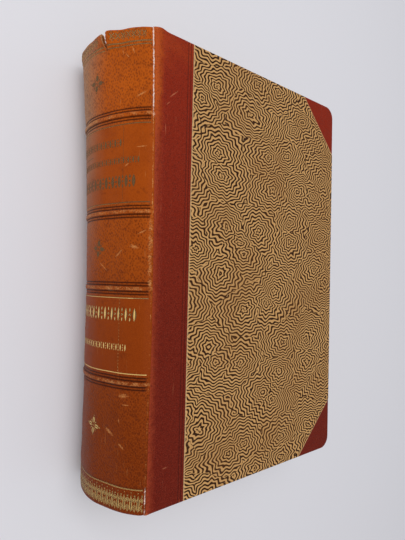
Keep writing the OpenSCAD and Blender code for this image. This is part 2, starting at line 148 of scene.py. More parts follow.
def smooth(a, b, v):
    """0 before a, 1 after b, with the curve 3t^2 - 2t^3 between."""
    t = np.clip((v - a) / (b - a), 0, 1)
    return t * t * (3 - 2 * t)


def bell(v, width):
    """1 where v is 0, less on both sides: exp(-(v / width)^2)."""
    return np.exp(-(v / width) ** 2)


def runs(*parts):
    """One row of numbers from arrays and from runs given as first, last and count."""
    return np.concatenate([np.linspace(*p) if isinstance(p, tuple) else p for p in parts])


def ripple(u, v, seed, size, count=7):
    """A smooth random field, mostly between -1 and 1: sine waves with seeded directions, added
    and divided by the root of their number."""
    rng = np.random.default_rng(seed)
    total = np.zeros(np.broadcast(u, v).shape)
    for angle, phase, stretch in zip(rng.uniform(0, np.pi, count), rng.uniform(0, 2 * np.pi, count),
                                     rng.uniform(0.6, 1.6, count)):
        way = u * np.cos(angle) + v * np.sin(angle)
        total += np.sin(2 * np.pi * way / (size * stretch) + phase)
    return total / math.sqrt(count)


# Meshes
def grid_faces(ni, nj, keep=None):
    """The quads of an ni by nj grid of points, those cells only that keep marks."""
    i, j = np.meshgrid(np.arange(ni - 1), np.arange(nj - 1), indexing="ij")
    a = i * nj + j
    quads = np.stack([a, a + nj, a + nj + 1, a + 1], -1)
    return quads.reshape(-1, 4) if keep is None else quads[keep]


def closed_sheet(outer, inner, faces, marks, kinds=(0, 0, 1)):
    """A closed shell: faces on the outer points, the same reversed on the inner ones, and a wall
    along each edge that only one face has. A mark of three dimensions is a vector at each point,
    any other is laid out flat, and the inner points have the outer ones' marks."""
    outer, inner = outer.reshape(-1, 3), inner.reshape(-1, 3)
    n = len(outer)
    edges = np.stack([faces, np.roll(faces, -1, 1)], -1).reshape(-1, 2).astype(np.int64)
    rim = edges[~np.isin(edges[:, 0] * n + edges[:, 1], edges[:, 1] * n + edges[:, 0])]
    walls = np.stack([rim[:, 1], rim[:, 0], rim[:, 0] + n, rim[:, 1] + n], -1)
    marks = {k: np.concatenate([np.reshape(v, (-1, 3) if np.ndim(v) == 3 else -1)] * 2)
             for k, v in marks.items()}
    return np.concatenate([outer, inner]), [faces, faces[:, ::-1] + n, walls], kinds, marks


def sheet_round(middle, thick, marks, faces=None):
    """The closed sheet that lies half its thickness on either side of a middle surface, along the
    unit cross product of the surface's two slopes."""
    n = np.cross(np.gradient(middle, axis=0), np.gradient(middle, axis=1))
    n = n / np.maximum(np.linalg.norm(n, axis=-1, keepdims=True), 1e-12)
    half = n * (np.asarray(thick)[..., None] / 2)
    if faces is None:
        faces = grid_faces(*middle.shape[:2])
    return closed_sheet(middle + half, middle - half, faces, marks)


def signed_volume(points, faces):
    """Six times the volume that the faces enclose, which is negative if they point inwards."""
    total = 0.0
    for f in faces:
        for k in range(1, f.shape[1] - 1):
            a, b, c = points[f[:, 0]], points[f[:, k]], points[f[:, k + 1]]
            total += np.einsum("ij,ij->i", a, np.cross(b, c)).sum()
    return total


def linked(name, data):
    """A new object in the scene."""
    made = bpy.data.objects.new(name, data)
    bpy.context.scene.collection.objects.link(made)
    return made


def make_piece(name, parts, body, materials, nodes, side=1, crease=40):
    """One object from closed shells. Each part is (points, faces, kinds, marks): points in
    millimetres, kinds the material of each face array, and marks the named values at its points.
    side -1 mirrors it in the book's middle plane for the back cover."""
    points, faces, kinds, marks = [], [], [], {}
    start = 0
    for pts, polys, kind, mark in parts:
        pts = pts * (1, 1, side)
        used = np.unique(np.concatenate([f.ravel() for f in polys]))
        place = np.zeros(len(pts), np.int64)
        place[used] = np.arange(len(used)) + start
        turn = signed_volume(pts - pts[used].mean(0), polys) < 0
        for f, k in zip(polys, kind):
            if len(f):
                faces.append(place[f[:, ::-1] if turn else f])
                kinds.append(np.full(len(f), k))
        points.append(pts[used])
        for key, value in mark.items():
            marks.setdefault(key, []).append(np.asarray(value, float)[used])
        start += len(used)
    points = (np.concatenate(points) + (JOINT_X, 0, MID_Z)) * MM
    corners = np.concatenate([f.ravel() for f in faces])
    totals = np.concatenate([np.full(len(f), f.shape[1]) for f in faces])
    mesh = bpy.data.meshes.new(name)
    mesh.vertices.add(len(points))
    mesh.vertices.foreach_set("co", points.ravel())
    mesh.loops.add(len(corners))
    mesh.loops.foreach_set("vertex_index", corners)
    mesh.polygons.add(len(totals))
    for key, values in (("loop_start", np.cumsum(totals) - totals), ("loop_total", totals),
                        ("material_index", np.concatenate(kinds)),
                        ("use_smooth", np.ones(len(totals), bool))):
        mesh.polygons.foreach_set(key, values)
    for key, values in marks.items():
        values = np.concatenate(values)
        kind, field = ("FLOAT_VECTOR", "vector") if values.ndim == 2 else ("FLOAT", "value")
        mesh.attributes.new(key, kind, "POINT").data.foreach_set(field, values.ravel())
    mesh.update(calc_edges=True)
    mesh.validate()
    mesh.set_sharp_from_angle(angle=math.radians(crease))
    piece = linked(name, mesh)
    for material in materials:
        mesh.materials.append(material)
    if body:
        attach(piece, body)
    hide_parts(*nodes)
    return piece


# The spine's surface
def spine_curve(s):
    """Place x, z and outward normal of the spine's section at the distance s along it: the crown
    arc, then a shoulder arc, then straight on over the board."""
    a = np.abs(s)
    crown = a <= CROWN_HALF
    turn = np.where(crown, a / CROWN_R, CROWN_ANGLE + (a - CROWN_HALF) / SHOULDER_R)
    past = np.maximum(turn - math.pi / 2, 0) * SHOULDER_R
    turn = np.minimum(turn, math.pi / 2)
    radius = np.where(crown, CROWN_R, SHOULDER_R)
    x = np.where(crown, CROWN_X, SHOULDER_X) - radius * np.cos(turn) + past
    z = np.sign(s) * (np.where(crown, 0.0, SHOULDER_Z) + radius * np.sin(turn))
    return x, z, -np.cos(turn), np.sign(s) * np.sin(turn)


def slack(s, y):
    """How far the worn spine stands out of its arc: it leans to the low side, most at the head,
    and the torn flap and the edge beyond the tear are bent out further."""
    most = np.interp(y, [-110, -98, -52, -9.5, 25, 50, 70, 85, 100, 110],
                     [0.2, 0.4, 0.1, 0.2, 1.1, 2.1, 3.1, 4.4, 5.6, 5.6])
    lean = np.interp(s, [-33, -28, -23, -17, -11, 0, 8, 16, 25, 33],
                     [0, 0.35, 0.8, 1, 0.86, 0.55, 0.22, 0.06, 0, 0])
    sunk = 0.7 * bell(s - 12, 7) * (1 - smooth(30, 70, y))
    flap = np.interp(s, [-30, -23, -17, -11, -3, 3, TEAR_S + 0.1],
                     [0, 4.4, 6.45, 5.1, 3.7, 3.65, 3.6])
    bent = np.where(s < TEAR_S, np.maximum(flap - most * lean, 0) * smooth(101.0, 106.0, y), 0)
    edge = 2.3 * bell(s - TEAR_S - 1.5, 4.5) * (s > TEAR_S) * smooth(99, 107, y)
    return most * lean - sunk + bent + edge


def ridge_shift(y):
    """How far the ridges lie from their mean line along the curve."""
    return np.interp(y, [-110, -60, -28, 12, 50, 70, 94, 110],
                     [0.1, 0.45, 0.75, 0.35, -0.2, -0.5, -1.0, -1.6])


def opened(s, y):
    """Moves the points beside the slanting tear apart: by half its ragged width, less and less
    away from it. The ridges wander, so what lies near them follows."""
    rise = np.clip((y - TEAR_Y) / (110 - TEAR_Y), 0, 1.2)
    ragged = 0.16 * np.sin(y * 4.1) + 0.1 * np.sin(y * 9.7 + 1)
    width = TEAR_W / 2 * rise ** 0.75
    off = s - TEAR_S
    slant = np.interp(y, [92, 101, 111], [0, 2.4, 0.2]) * bell(off, 7)
    apart = (np.sign(off) * width + ragged * (rise > 0)) * np.exp(-np.abs(off) / 5)
    return s + slant + apart + np.sign(s) * ridge_shift(y) * smooth(22, RIDGE, np.abs(s))


def worn_place(s, y):
    """Where the outer face lies at s along and y up the worn spine, without its relief: x, height
    and z, and x and z of the outward normal. The head edge has kept more or less of its height."""
    x, z, nx, nz = spine_curve(opened(s, y))
    raised = np.interp(s, [-34, -20, -8, TEAR_S, 13, 19, 26.5, 32, 35],
                       [0, 0.3, 0.8, 0.98, 1.0, 1.0, 0.6, 0.1, 0.1])
    return x - slack(s, y), y + raised * smooth(*HEAD_RISE, y), z, nx, nz


def band_lift(s, y):
    """Relief of the spine: raised bands, blind-tooled grooves, the ridge and a slight unevenness."""
    fade = 1 - smooth(RIDGE - 1.5, RIDGE - 0.4, np.abs(s))
    calm = 1 - smooth(RIDGE - 5, RIDGE - 0.8, np.abs(s))
    lift = (0.07 * ripple(s, y, 3, 17) + 0.035 * ripple(s, y, 4, 5.5)) * (0.25 + 0.75 * calm)
    for band in BANDS:
        d = np.abs(y - band)
        lift = lift + BAND_H * fade * (1 - smooth(BAND_W / 2 - 0.35, BAND_W / 2 + 0.15, d))
        for line in BLIND:
            lift = lift - 0.2 * fade * bell(d - line, 0.26)
    lift = lift - 0.1 * fade * bell(y - TAIL_LINE, 0.3)
    scuff = 0.05 * ripple(s, y, 9, 2.6)
    return lift + (0.16 + scuff) * bell(np.abs(s) - RIDGE, 0.5)


def rows_for_spine():
    """Heights of the grid's rows: close together at the bands and ends, wider between them."""
    end, top = 97.0, 108.7
    edges = runs([-end], (BANDS[:, None] + (-BAND_ROWS, BAND_ROWS)).ravel(), [end])
    ends = [(-top, -end, 22), (end, top, 34)]
    fine = [(a, b, 43) for a, b in zip(edges[1:-1:2], edges[2:-1:2])]
    wide = [(a, b, max(3, int((b - a) / 1.3))) for a, b in zip(edges[0::2], edges[1::2])]
    return np.unique(np.round(runs(*ends, *fine, *wide), 3))


def make_spine_leather():
    """The spine's leather sheet. Along its height it goes from the turned-in tail edge, round the
    tail, up the outside, round the head and in again; the tear leaves out the cells between its
    two edges. Outer and inner points lie half the thickness on either side of that path."""
    rim = RIDGE + np.array([-1.2, -0.8, -0.5, -0.25, 0, 0.25, 0.5, 0.65])
    s = runs(-rim[::-1], (1.6 - RIDGE, 0, 38), (0.5, TEAR_S - 0.04, 12),
             (TEAR_S + 0.04, 11, 11), (11.8, RIDGE - 1.6, 24), rim)
    deep = LEATHER + CARD + THINNEST / 2
    mid, radius = (LEATHER / 2 + deep) / 2, (deep - LEATHER / 2) / 2
    end = COVER_Y - LEATHER / 2 - radius
    head = np.linspace(0, np.pi, 9)[1:-1]
    tail = head[::-1]
    flat = rows_for_spine()
    flat = flat[np.abs(flat) < end]
    margin = np.linspace(end, end - TURN_IN + 1.5, 14)
    inside, outside = np.ones(len(margin)), np.ones(len(flat) + 2)
    y = runs(-margin[::-1], -end - radius * np.sin(tail), [-end], flat, [end],
             end + radius * np.sin(head), margin)
    d = runs(deep * inside, mid - radius * np.cos(tail), LEATHER / 2 * outside,
             mid - radius * np.cos(head), deep * inside)
    ny = runs(0 * inside, -np.sin(tail), 0 * outside, np.sin(head), 0 * inside)
    nd = runs(-inside, np.cos(tail), outside, np.cos(head), -inside)
    S, Y = np.meshgrid(s, y, indexing="ij")
    D, NY, ND = (np.broadcast_to(v, S.shape) for v in (d, ny, nd))
    shown = np.clip(ND, 0, 1)
    feather = smooth(RIDGE - 1.2, RIDGE + 0.4, np.abs(S)) * 0.82
    thick = (THINNEST + (LEATHER - THINNEST) * (1 + ND) / 2) * (1 - feather)
    x, up, z, nx, nz = worn_place(S, Y)
    lift = band_lift(S, Y) * shown + LEATHER / 2 * feather * shown
    shells = []
    for sign in (1, -1):
        out = -D + sign * ND * thick / 2 + lift
        shells.append(np.stack([x + nx * out, up + sign * NY * thick / 2, z + nz * out], -1))
    keep = np.ones((len(s) - 1, len(y) - 1), bool)
    keep[np.argmax(s > TEAR_S) - 1] = y[:-1] < TEAR_Y
    groove = sum(bell(np.abs(Y - b) - line, 0.34) for b in BANDS for line in BLIND)
    groove = groove * (1 - smooth(RIDGE - 1.5, RIDGE - 0.6, np.abs(S)))
    groove = groove + 0.5 * bell(Y - TAIL_LINE - 0.5, 0.4)
    band = sum(1 - smooth(0.6, 1.2, np.abs(Y - b)) for b in BANDS)
    tear = np.exp(-np.abs(S - TEAR_S) / 0.8) * smooth(TEAR_Y - 2, TEAR_Y, Y)
    worn = 0.57 * band + 0.6 * smooth(108.2, 110, np.abs(Y)) + 0.6 * tear
    marks = {"sheet": np.stack([S, Y, 0 * S], -1), "groove": groove, "worn": np.clip(worn, 0, 1)}
    return make_piece("spine_leather_skin",
                      [closed_sheet(*shells, grid_faces(len(s), len(y), keep), marks)],
                      "text_block_body", [faded_spine_leather, torn_leather],
                      ["spine_leather"])


# Coverings of the boards
def turned_edge(r, depth, margin):
    """Rows that carry a covering over a board's edge: a quarter circle of radius r, the edge, a
    quarter circle, and a margin inside. Gives how far out and how far down each row lies."""
    r, depth, margin = np.broadcast_arrays(r, depth, margin)
    a = np.linspace(0, np.pi / 2, 5)[:, None]
    inner = np.linspace(0, 1, 9)[1:, None]
    out = [-r + r * np.sin(a), 0 * r[None], -r + r * np.cos(a), -r - (margin - r) * inner]
    down = [r * (1 - np.cos(a)), depth[None] / 2, depth - r + r * np.sin(a), depth + 0 * inner]
    return np.concatenate(out), np.concatenate(down)


def make_side_leather(name, side):
    """The spine leather that shows on a board: along s it goes over the ridge and the joint, and
    along Y from the turned-in tail margin round the tail edge, over the board and in at the head."""
    reach = STRAIGHT - SHOULDER_X
    s = runs((RIDGE - 0.1, RIDGE + 2.0, 8), (RIDGE + 2.3, reach + 3, 16),
             (reach + 3.6, reach + 13.4, 14), (reach + 13.7, reach + 17, 18),
             (reach + 17.3, reach + SIDE_X1, 5))
    shallow = 0.56
    deep = shallow + (WRAP - shallow) * smooth(1.1, 2.3, spine_curve(s)[0])
    r = np.minimum(EDGE_R, deep / 2 - 0.01)
    out, down = turned_edge(r, deep, TURN_IN)
    y_end = COVER_Y - PARED / 2
    flat = np.linspace(-1, 1, 121)[1:-1, None] * (y_end - r)
    Y = np.concatenate([-(y_end + out)[::-1], flat, y_end + out]).T
    D = np.concatenate([down[::-1], 0 * flat, down]).T
    S = np.broadcast_to(s[:, None], Y.shape)
    X, z, nx, nz = spine_curve(S + ridge_shift(Y) * (1 - smooth(RIDGE, RIDGE + 4.5, S)))
    top = D < 0.2
    tuck = 0.17 * (1 - smooth(RIDGE + 0.5, RIDGE + 0.8, S))
    line = sum(bell(X - at, 0.28) for at in SIDE_LINES)
    dip = 0.22 * bell(X - 0.9, 1.3) + 0.12 * line + tuck
    depth = PARED / 2 + D + (dip - 0.018 * ripple(X, Y, 12, 14)) * top
    rise = (0.1 + 0.6 * bell(X, 2.2)) * (1 - smooth(1.5, 5, X)) * smooth(*HEAD_RISE, Y)
    mid = np.stack([X - nx * depth, Y + rise, z - nz * depth], -1)
    thick = np.where(D > 1.0, TURNED, PARED) * (1 - 0.3 * (S < RIDGE + 0.7))
    # Painted highlight: glint is the light line between the two blind lines, added to the wear mark and
    # painted light in the leather's colour.
    glint = bell(X - sum(SIDE_LINES) / 2, 0.3)
    worn = 0.45 * bell(S - RIDGE - 0.9, 0.9) + 0.62 * glint
    worn = worn + 0.7 * smooth(COVER_Y - 1.2, COVER_Y, np.abs(Y))
    marks = {"from_joint": X, "groove": np.clip(0.9 * line - 0.5 * glint, 0, 1),
             "worn": np.clip(worn, 0, 1)}
    piece = make_piece(name + "_side_leather_skin", [sheet_round(mid, thick, marks)], None,
                       [red_side_leather, torn_leather],
                       [name + "_side_leather"], side)
    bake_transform(piece)
    return piece


def make_corner(cover, side, end):
    """A leather corner: rays run from the slanting edge under the paper to the rounded outline,
    over the board's edge and back in along the same ray."""
    name = cover + ("_head" if end > 0 else "_tail") + "_corner"
    x_e, y_e = COVER_X - PARED / 2, COVER_Y - PARED / 2
    R = CORNER_R + PARED / 2
    leg = LEG - PARED / 2
    straight, bend = leg - R, R * math.pi / 2
    leg_q = np.linspace(0, straight, 16)
    q = runs(leg_q[:-1], straight + np.linspace(0, bend, 15), straight + bend + leg_q[1:])
    turn = np.clip((q - straight) / R, 0, np.pi / 2)
    px = x_e - leg + np.minimum(q, straight) + R * np.sin(turn)
    py = y_e - R + R * np.cos(turn) - np.maximum(q - straight - bend, 0)
    out_x, out_y = np.sin(turn), np.cos(turn)
    t = q / (2 * straight + bend)
    dx = x_e - leg + t * leg - 0.25
    dy = y_e - t * leg - 0.25
    out, down = turned_edge(np.full(len(q), EDGE_R), WRAP, np.full(len(q), EDGE_R + 0.01))
    over = 11                                     # rows over the edge
    top = np.linspace(0, 1, 13)[:-1, None]
    bx, by = px - EDGE_R * out_x, py - EDGE_R * out_y
    away = np.maximum((y_e - dy) * out_y + (x_e - dx) * out_x, 0.3)
    inward = np.linspace(0, 1, 9)[1:, None] * np.minimum(1, (TURN_IN - EDGE_R) / away)
    X = np.concatenate([dx + (bx - dx) * top, px + out[:over] * out_x, bx + (dx - bx) * inward])
    Y = np.concatenate([dy + (by - dy) * top, py + out[:over] * out_y, by + (dy - by) * inward])
    D = np.concatenate([0 * top + 0 * dx, down[:over], down[over - 1] + 0 * inward])
    swell = 0.018 * ripple(X, Y, 21 + end, 9) * (D < 0.2)
    mid = np.stack([X, end * Y, LEATHER_Z - PARED / 2 - D + swell], -1)
    rim = bell(D - 0.6, 0.9) * (D > 0.02)
    point = np.exp(-((X - x_e) ** 2 + (Y - y_e) ** 2) / 90)
    marks = {"from_joint": 0 * X + 30, "groove": 0 * X,
             "worn": np.clip(rim * 0.66 + 0.45 * point, 0, 1)}
    return make_piece(name + "_skin", [sheet_round(mid, np.where(D > 1.0, TURNED, PARED), marks)],
                      cover + "_cover", [red_side_leather, torn_leather], [name],
                      side)


def fold_down(a, r, depth):
    """A sheet bent over a board's edge: a counts from the start of the bend. Gives how far out
    and how far down each point lies."""
    quarter, wall = r * math.pi / 2, depth - 2 * r
    b = np.clip(a / r, 0, math.pi / 2)
    c = np.clip((a - quarter - wall) / r, 0, math.pi / 2)
    out = -r + np.minimum(a, 0) + r * np.sin(b) - r * (1 - np.cos(c))
    out = out - np.maximum(a - 2 * quarter - wall, 0)
    down = r * (1 - np.cos(b)) + np.clip(a - quarter, 0, wall) + r * np.sin(c)
    return out, down


def make_paper(name, side):
    """The decorated paper: a flat sheet with two corners cut off aslant, bent over the head, tail
    and fore edges of the board. The grid lines of its corners cross on the slanting cut."""
    r = 0.25
    x_e, y_e = BOARD_X1 + PAPER / 2, BOARD_Y1 + PAPER / 2
    depth = PAPER_Z - BOARD_IN
    quarter, wall = r * math.pi / 2, depth - 2 * r
    bend = 2 * quarter + wall
    x_max, y_max = x_e - r + bend + TURN_IN, y_e - r + bend + TURN_IN
    bent = runs((0, quarter, 5), (quarter + wall, bend, 5))
    slant = np.unique(np.round(runs((PAPER_CUT - y_max, x_max, 25), x_e - r + bent,
                                    PAPER_CUT - (y_e - r + bent)), 4))
    xs = runs(np.linspace(PAPER_X0, slant[0], 26)[:-1], slant)
    ups = runs(np.linspace(0, PAPER_CUT - slant[-1], 22)[:-1], (PAPER_CUT - slant)[::-1])
    ys = runs(-ups[:0:-1], ups)
    A, B = np.meshgrid(xs, ys, indexing="ij")
    out_x, down_x = fold_down(A - (x_e - r), r, depth)
    out_y, down_y = fold_down(np.abs(B) - (y_e - r), r, depth)
    down = down_x + down_y
    wave = 0.012 * ripple(A, B, 31, 23) * (down < 0.01)
    mid = np.stack([x_e + out_x, np.sign(B) * (y_e + out_y), PAPER_Z - PAPER / 2 - down + wave], -1)
    quads = grid_faces(len(xs), len(ys))
    upper = np.broadcast_to(ys[:-1] >= -1e-9, (len(xs) - 1, len(ys) - 1)).reshape(-1, 1)
    faces = np.concatenate([np.where(upper, quads[:, [0, 1, 3]], quads[:, [0, 1, 2]]),
                            np.where(upper, quads[:, [1, 2, 3]], quads[:, [0, 2, 3]])])
    plan = A.ravel()[faces].mean(1) + np.abs(B.ravel()[faces]).mean(1)
    faces = faces[plan < PAPER_CUT - 1e-4]
    marks = {"sheet": np.stack([A, B, 0 * A], -1)}
    return make_piece(name + "_paper_skin", [sheet_round(mid, np.full(A.shape, PAPER), marks, faces)],
                      name + "_cover", [wavy_paper, paper_edge],
                      [name + "_paper_side", name + "_paper_print"], side)


# Pages and endbands
def closed_block(shape, na, nb, nc):
    """The six faces of a block of na by nb by nc cells as one closed surface: shape gives the
    points for three arrays of fractions from 0 to 1."""
    sizes = (na + 1, nb + 1, nc + 1)
    quads = []
    for axis in range(3):
        u, v = [k for k in range(3) if k != axis]
        for last in (0, 1):
            p, q = np.meshgrid(np.arange(sizes[u]), np.arange(sizes[v]), indexing="ij")
            place = [None] * 3
            place[u], place[v] = p, q
            place[axis] = np.full_like(p, last * (sizes[axis] - 1))
            code = (place[0] * sizes[1] + place[1]) * sizes[2] + place[2]
            cell = code.ravel()[grid_faces(sizes[u], sizes[v])]
            quads.append(cell if (last + axis) % 2 else cell[:, ::-1])
    codes, index = np.unique(np.concatenate(quads), return_inverse=True)
    a, b, c = np.unravel_index(codes, sizes)
    pts, marks = shape(a / na, b / nb, c / nc)
    return pts, [index.reshape(-1, 4)], (0,), marks


def page_shape(a, b, c):
    """A page's line: it starts on the rounded, backed spine, drops from the shoulder to the level
    of the block and ends in the hollow fore edge. c counts the pages from bottom to top."""
    w = 2 * c - 1
    leaf = ripple(c * 50, 0 * c, 41, 1.1, 9)
    swell = PAGES_FAN * w
    z_flat = TEXT_HALF * w
    z_spine = z_flat + swell
    crown = CROWN_X - np.sqrt(np.maximum((CROWN_R - PAGES_IN) ** 2 - z_spine ** 2, 1))
    inner = SHOULDER_R - 1.1
    up = np.clip(np.abs(z_spine) - SHOULDER_Z, 0, inner - 0.05)
    x0 = np.maximum(crown, SHOULDER_X - np.sqrt(inner ** 2 - up ** 2))
    half = TEXT_HALF - 0.6
    fore_r = (half ** 2 + HOLLOW ** 2) / (2 * HOLLOW)
    x1 = TEXT_X1 - HOLLOW + fore_r - np.sqrt(fore_r ** 2 - np.minimum(np.abs(z_flat), half) ** 2)
    share = 0.22                                  # of the grid's cells, up to FLAT_X
    x = np.where(a < share, x0 + (FLAT_X - x0) * np.minimum(a / share, 1),
                 FLAT_X + (x1 - FLAT_X) * (a - share) / (1 - share))
    x = x - 0.16 * np.abs(leaf) * smooth(0.9, 1, a)
    z = z_flat + swell * (1 - smooth(-3.2, 0.9, x))
    y = (2 * b - 1) * (TEXT_Y - 0.12 * np.abs(leaf) * (np.abs(2 * b - 1) > 0.99))
    return np.stack([np.minimum(x, TEXT_X1), y, z], -1), {"leaf": c}


def make_pages():
    """The sewn pages as one closed block whose grid lines follow the leaves."""
    return make_piece("page_block", [closed_block(page_shape, 44, 40, 150)], "text_block_body",
                      [aged_pages], ["text_block"], crease=30)


def make_endband(end):
    """A bead wound with thread along the edge of the pages, and its cloth skirt on their back: the
    bead's circle is carried along an arc, and each turn of thread swells it a little."""
    name = "head_endband" if end > 0 else "tail_endband"
    arc_r = CROWN_R - LINING - BEAD_R - 0.06
    half = math.asin((SHOULDER_Z + 2 - BEAD_R) / CROWN_R)
    n, m = 420, 14
    U, V = np.meshgrid(np.linspace(-half, half, n), np.linspace(0, 2 * np.pi, m + 1)[:-1],
                       indexing="ij")
    lay = U * arc_r / THREAD_STEP + V / (2 * np.pi)
    blunt = np.sqrt(np.clip(1 - (np.abs(U) / half) ** 40, 0.02, 1))
    r = BEAD_R * blunt * (0.95 + 0.05 * np.abs(np.sin(np.pi * lay)))
    away = arc_r - r * np.cos(V)
    y_mid = TEXT_Y + BEAD_R + 0.15
    pts = np.stack([CROWN_X - away * np.cos(U), end * (y_mid + r * np.sin(V)),
                    away * np.sin(U)], -1)
    tips = [[CROWN_X - arc_r * math.cos(half), end * y_mid, way * arc_r * math.sin(half)]
            for way in (-1, 1)]
    quads = grid_faces(n, m + 1)
    tube = quads // (m + 1) * m + quads % (m + 1) % m
    k = np.arange(m)
    following = (k + 1) % m
    lids = [np.stack([np.full(m, n * m), k, following], -1),
            np.stack([np.full(m, n * m + 1), (n - 1) * m + following, (n - 1) * m + k], -1)]
    bead = (np.concatenate([pts.reshape(-1, 3), tips]), [tube, *lids], (0, 0, 0),
            {"thread": runs(lay.ravel(), [0, 0])})
    S, Y = np.meshgrid(np.linspace(-1, 1, 40) * (SHOULDER_Z + 1.4),
                       np.linspace(TEXT_Y - 8, TEXT_Y + 0.6, 10), indexing="ij")
    x, z, nx, nz = spine_curve(S)
    shells = [np.stack([x - nx * g, end * Y, z - nz * g], -1) for g in (LINING + 0.02, LINING + 0.3)]
    skirt = closed_sheet(*shells, grid_faces(*S.shape), {"thread": 0 * S}, (1, 1, 1))
    return make_piece(name + "_wound", [bead, skirt], "text_block_body",
                      [endband_thread, linen], [name])


# Gilding
def gilt_grid(S, Y):
    """A thin closed patch of gold on the spine for each copy in S and Y, shaped copies, rows, cols.
    The sheet mark is laid out flat, so that neighbouring points hold s, y and 0 in turn."""
    count, nu, nv = S.shape
    x, up, z, nx, nz = worn_place(S, Y)
    lift = band_lift(S, Y) + GOLD_OVER
    shells = [np.stack([x + nx * (lift - deep), up, z + nz * (lift - deep)], -1)
              for deep in (0, GOLD_DEEP)]
    faces = grid_faces(nu, nv)[None] + (np.arange(count) * nu * nv)[:, None, None]
    return closed_sheet(*shells, faces.reshape(-1, 4), {"sheet": np.stack([S, Y, 0 * S], -1)},
                        (0, 0, 0))


def gilt_line(s, y, width):
    """A gold line that runs along the one of s and y that is a row of numbers."""
    s, y = (v if np.ndim(v) else np.array([-0.5, 0, 0.5]) * width + v for v in (s, y))
    S, Y = np.meshgrid(s, y, indexing="ij")
    return gilt_grid(S[None], Y[None])


def gilt_ribbon(y, s0, s1, width):
    """A gold line round the spine at height y."""
    return gilt_line(np.arange(s0, s1 + 0.2, 0.4), y, width)


def gilt_upright(s, y0, y1, width):
    """A gold line up the spine."""
    return gilt_line(s, np.linspace(y0, y1, max(3, int(abs(y1 - y0) / 0.5))), width)


def copies(*values):
    """Values as arrays, with the copies along the first of three dimensions."""
    return [np.atleast_1d(v).astype(float)[:, None, None] for v in np.broadcast_arrays(*values)]


def gilt_leaves(s, y, angle, length, width, power=1.0):
    """Pointed leaves: each starts at s, y and runs length at angle from the head direction, and
    its half width follows the sine of the way along it."""
    s, y, angle, length, width = copies(s, y, angle, length, width)
    u = np.linspace(0.03, 0.97, 7)[None, :, None]
    v = np.linspace(-1, 1, 3)[None, None, :]
    side = v * width / 2 * np.sin(np.pi * u) ** power
    up = u * length + 0 * v
    return gilt_grid(s + up * np.sin(angle) + side * np.cos(angle),
                     y + up * np.cos(angle) - side * np.sin(angle))


def gilt_dots(s, y, radius):
    """Round dots: a small square grid whose sides are bent out to a circle."""
    s, y, radius = copies(s, y, radius)
    U, V = np.meshgrid(np.linspace(-1, 1, 5), np.linspace(-1, 1, 5), indexing="ij")
    return gilt_grid(s + radius * U * np.sqrt(1 - V ** 2 / 2), y + radius * V * np.sqrt(1 - U ** 2 / 2))


def away_from(s, y, angle, length):
    """The place at a distance from s, y, at an angle from the head direction."""
    return s + length * math.sin(angle), y + length * math.cos(angle)


def tooled(places, stamps):
    """The same stamps at each place along the curve. A stamp is its shift, its height, and then a
    dot's radius or a leaf's angle, length and width."""
    return [(gilt_leaves if len(size) > 1 else gilt_dots)(places + shift, y, *size)
            for shift, y, *size in stamps]


def one_gilt(node, parts):
    """Joins the patches of one kind of tooling into a piece."""
    return make_piece(node + "_leaf", parts, "text_block_body", [worn_gold], [node])


def make_gilding():
    """Lines, rolls, flowers and plain title ornaments, all laid on the spine's own surface."""
    far = RIDGE - 0.9
    lines = [gilt_ribbon(y, *span, w) for y, w in zip(HEAD_LINES, (0.55, 0.4))
             for span in ((-far, TEAR_S - 1.0), (TEAR_S + 0.6, far))]
    lines.append(gilt_ribbon(TAIL_LINE, -far, far, 0.45))
    fields = BANDS + np.array([1, -1, 1, -1]) * TITLE_EDGE
    lines += [gilt_ribbon(y, -far, far, 0.42) for y in fields]
    one_gilt("gilt_lines", lines)

    pitch, y = 2.9, 106.7
    at = np.arange(-30.5, 29, pitch)
    at = at[np.abs(at + 0.6 - TEAR_S) > 1.9]
    crossed = [(0, y, turn, 1.9, 0.62) for turn in (0.72, -0.72, 2.42, -2.42)]
    one_gilt("gilt_head_roll", tooled(at, crossed + [(0, 104.4, 0, 1.2, 0.5), (0, y, 0.3),
                                                     (0, 108.6, 0.26), (pitch / 2, y, 0.26)]))

    pitch = 3.3
    half = pitch / 2
    one_gilt("gilt_tail_roll", tooled(np.arange(-29.7, 30, pitch), [
        (0, -108.3, 0, 7.6, 1.3), (-0.25, -107.8, -0.42, 3.4, 0.8), (0.25, -107.8, 0.42, 3.4, 0.8),
        (-0.2, -104.3, -0.5, 2.9, 0.7), (0.2, -104.3, 0.5, 2.9, 0.7), (half, -101.2, 0.42),
        (half, -108.4, 0, 2.2, 0.7), (0, -99.9, 0.25), (half, -105.0, 0.3),
        (half, -104.4, 0, 2.6, 0.8)]))

    flowers = []
    for s, y in FLOWERS:
        for wide in np.arange(4) * np.pi / 2 + 0.12:
            slim = wide + np.pi / 4
            flowers += [gilt_leaves(*away_from(s, y, wide, 1.0), wide, 3.0, 2.0, 0.6),
                        gilt_leaves(*away_from(s, y, slim, 1.1), slim, 2.2, 0.45),
                        gilt_dots(*away_from(s, y, wide, 4.5), 0.3)]
        flowers.append(gilt_dots(s, y, 0.45))
    one_gilt("gilt_fleurons", flowers)

    frames = []
    for y0, y1 in (fields[:2], fields[2:]):
        frames += [gilt_upright(s, y0 + 0.5, y1 - 0.5, w)
                   for s, w in ((-TITLE_HALF, 0.3), (TITLE_HALF, 0.08))]
    for y, tall, step, s0, s1 in TITLE_ROWS:
        row = np.arange(s0, s1 - step / 2, step)
        small = (0, 0.3 * tall, 0.16 * tall)
        frames += tooled(row, [(0, y - tall / 2, 0, tall, 0.3 * tall)])
        frames += tooled(row[:-1] + step / 2, [(0, y, 0.09 * tall), (0, y + 0.2 * tall, *small),
                                               (0, y - 0.5 * tall, *small)])
    frames.append(gilt_ribbon(53.2, -13, -3, 0.3))
    one_gilt("gilt_title_frames", frames)


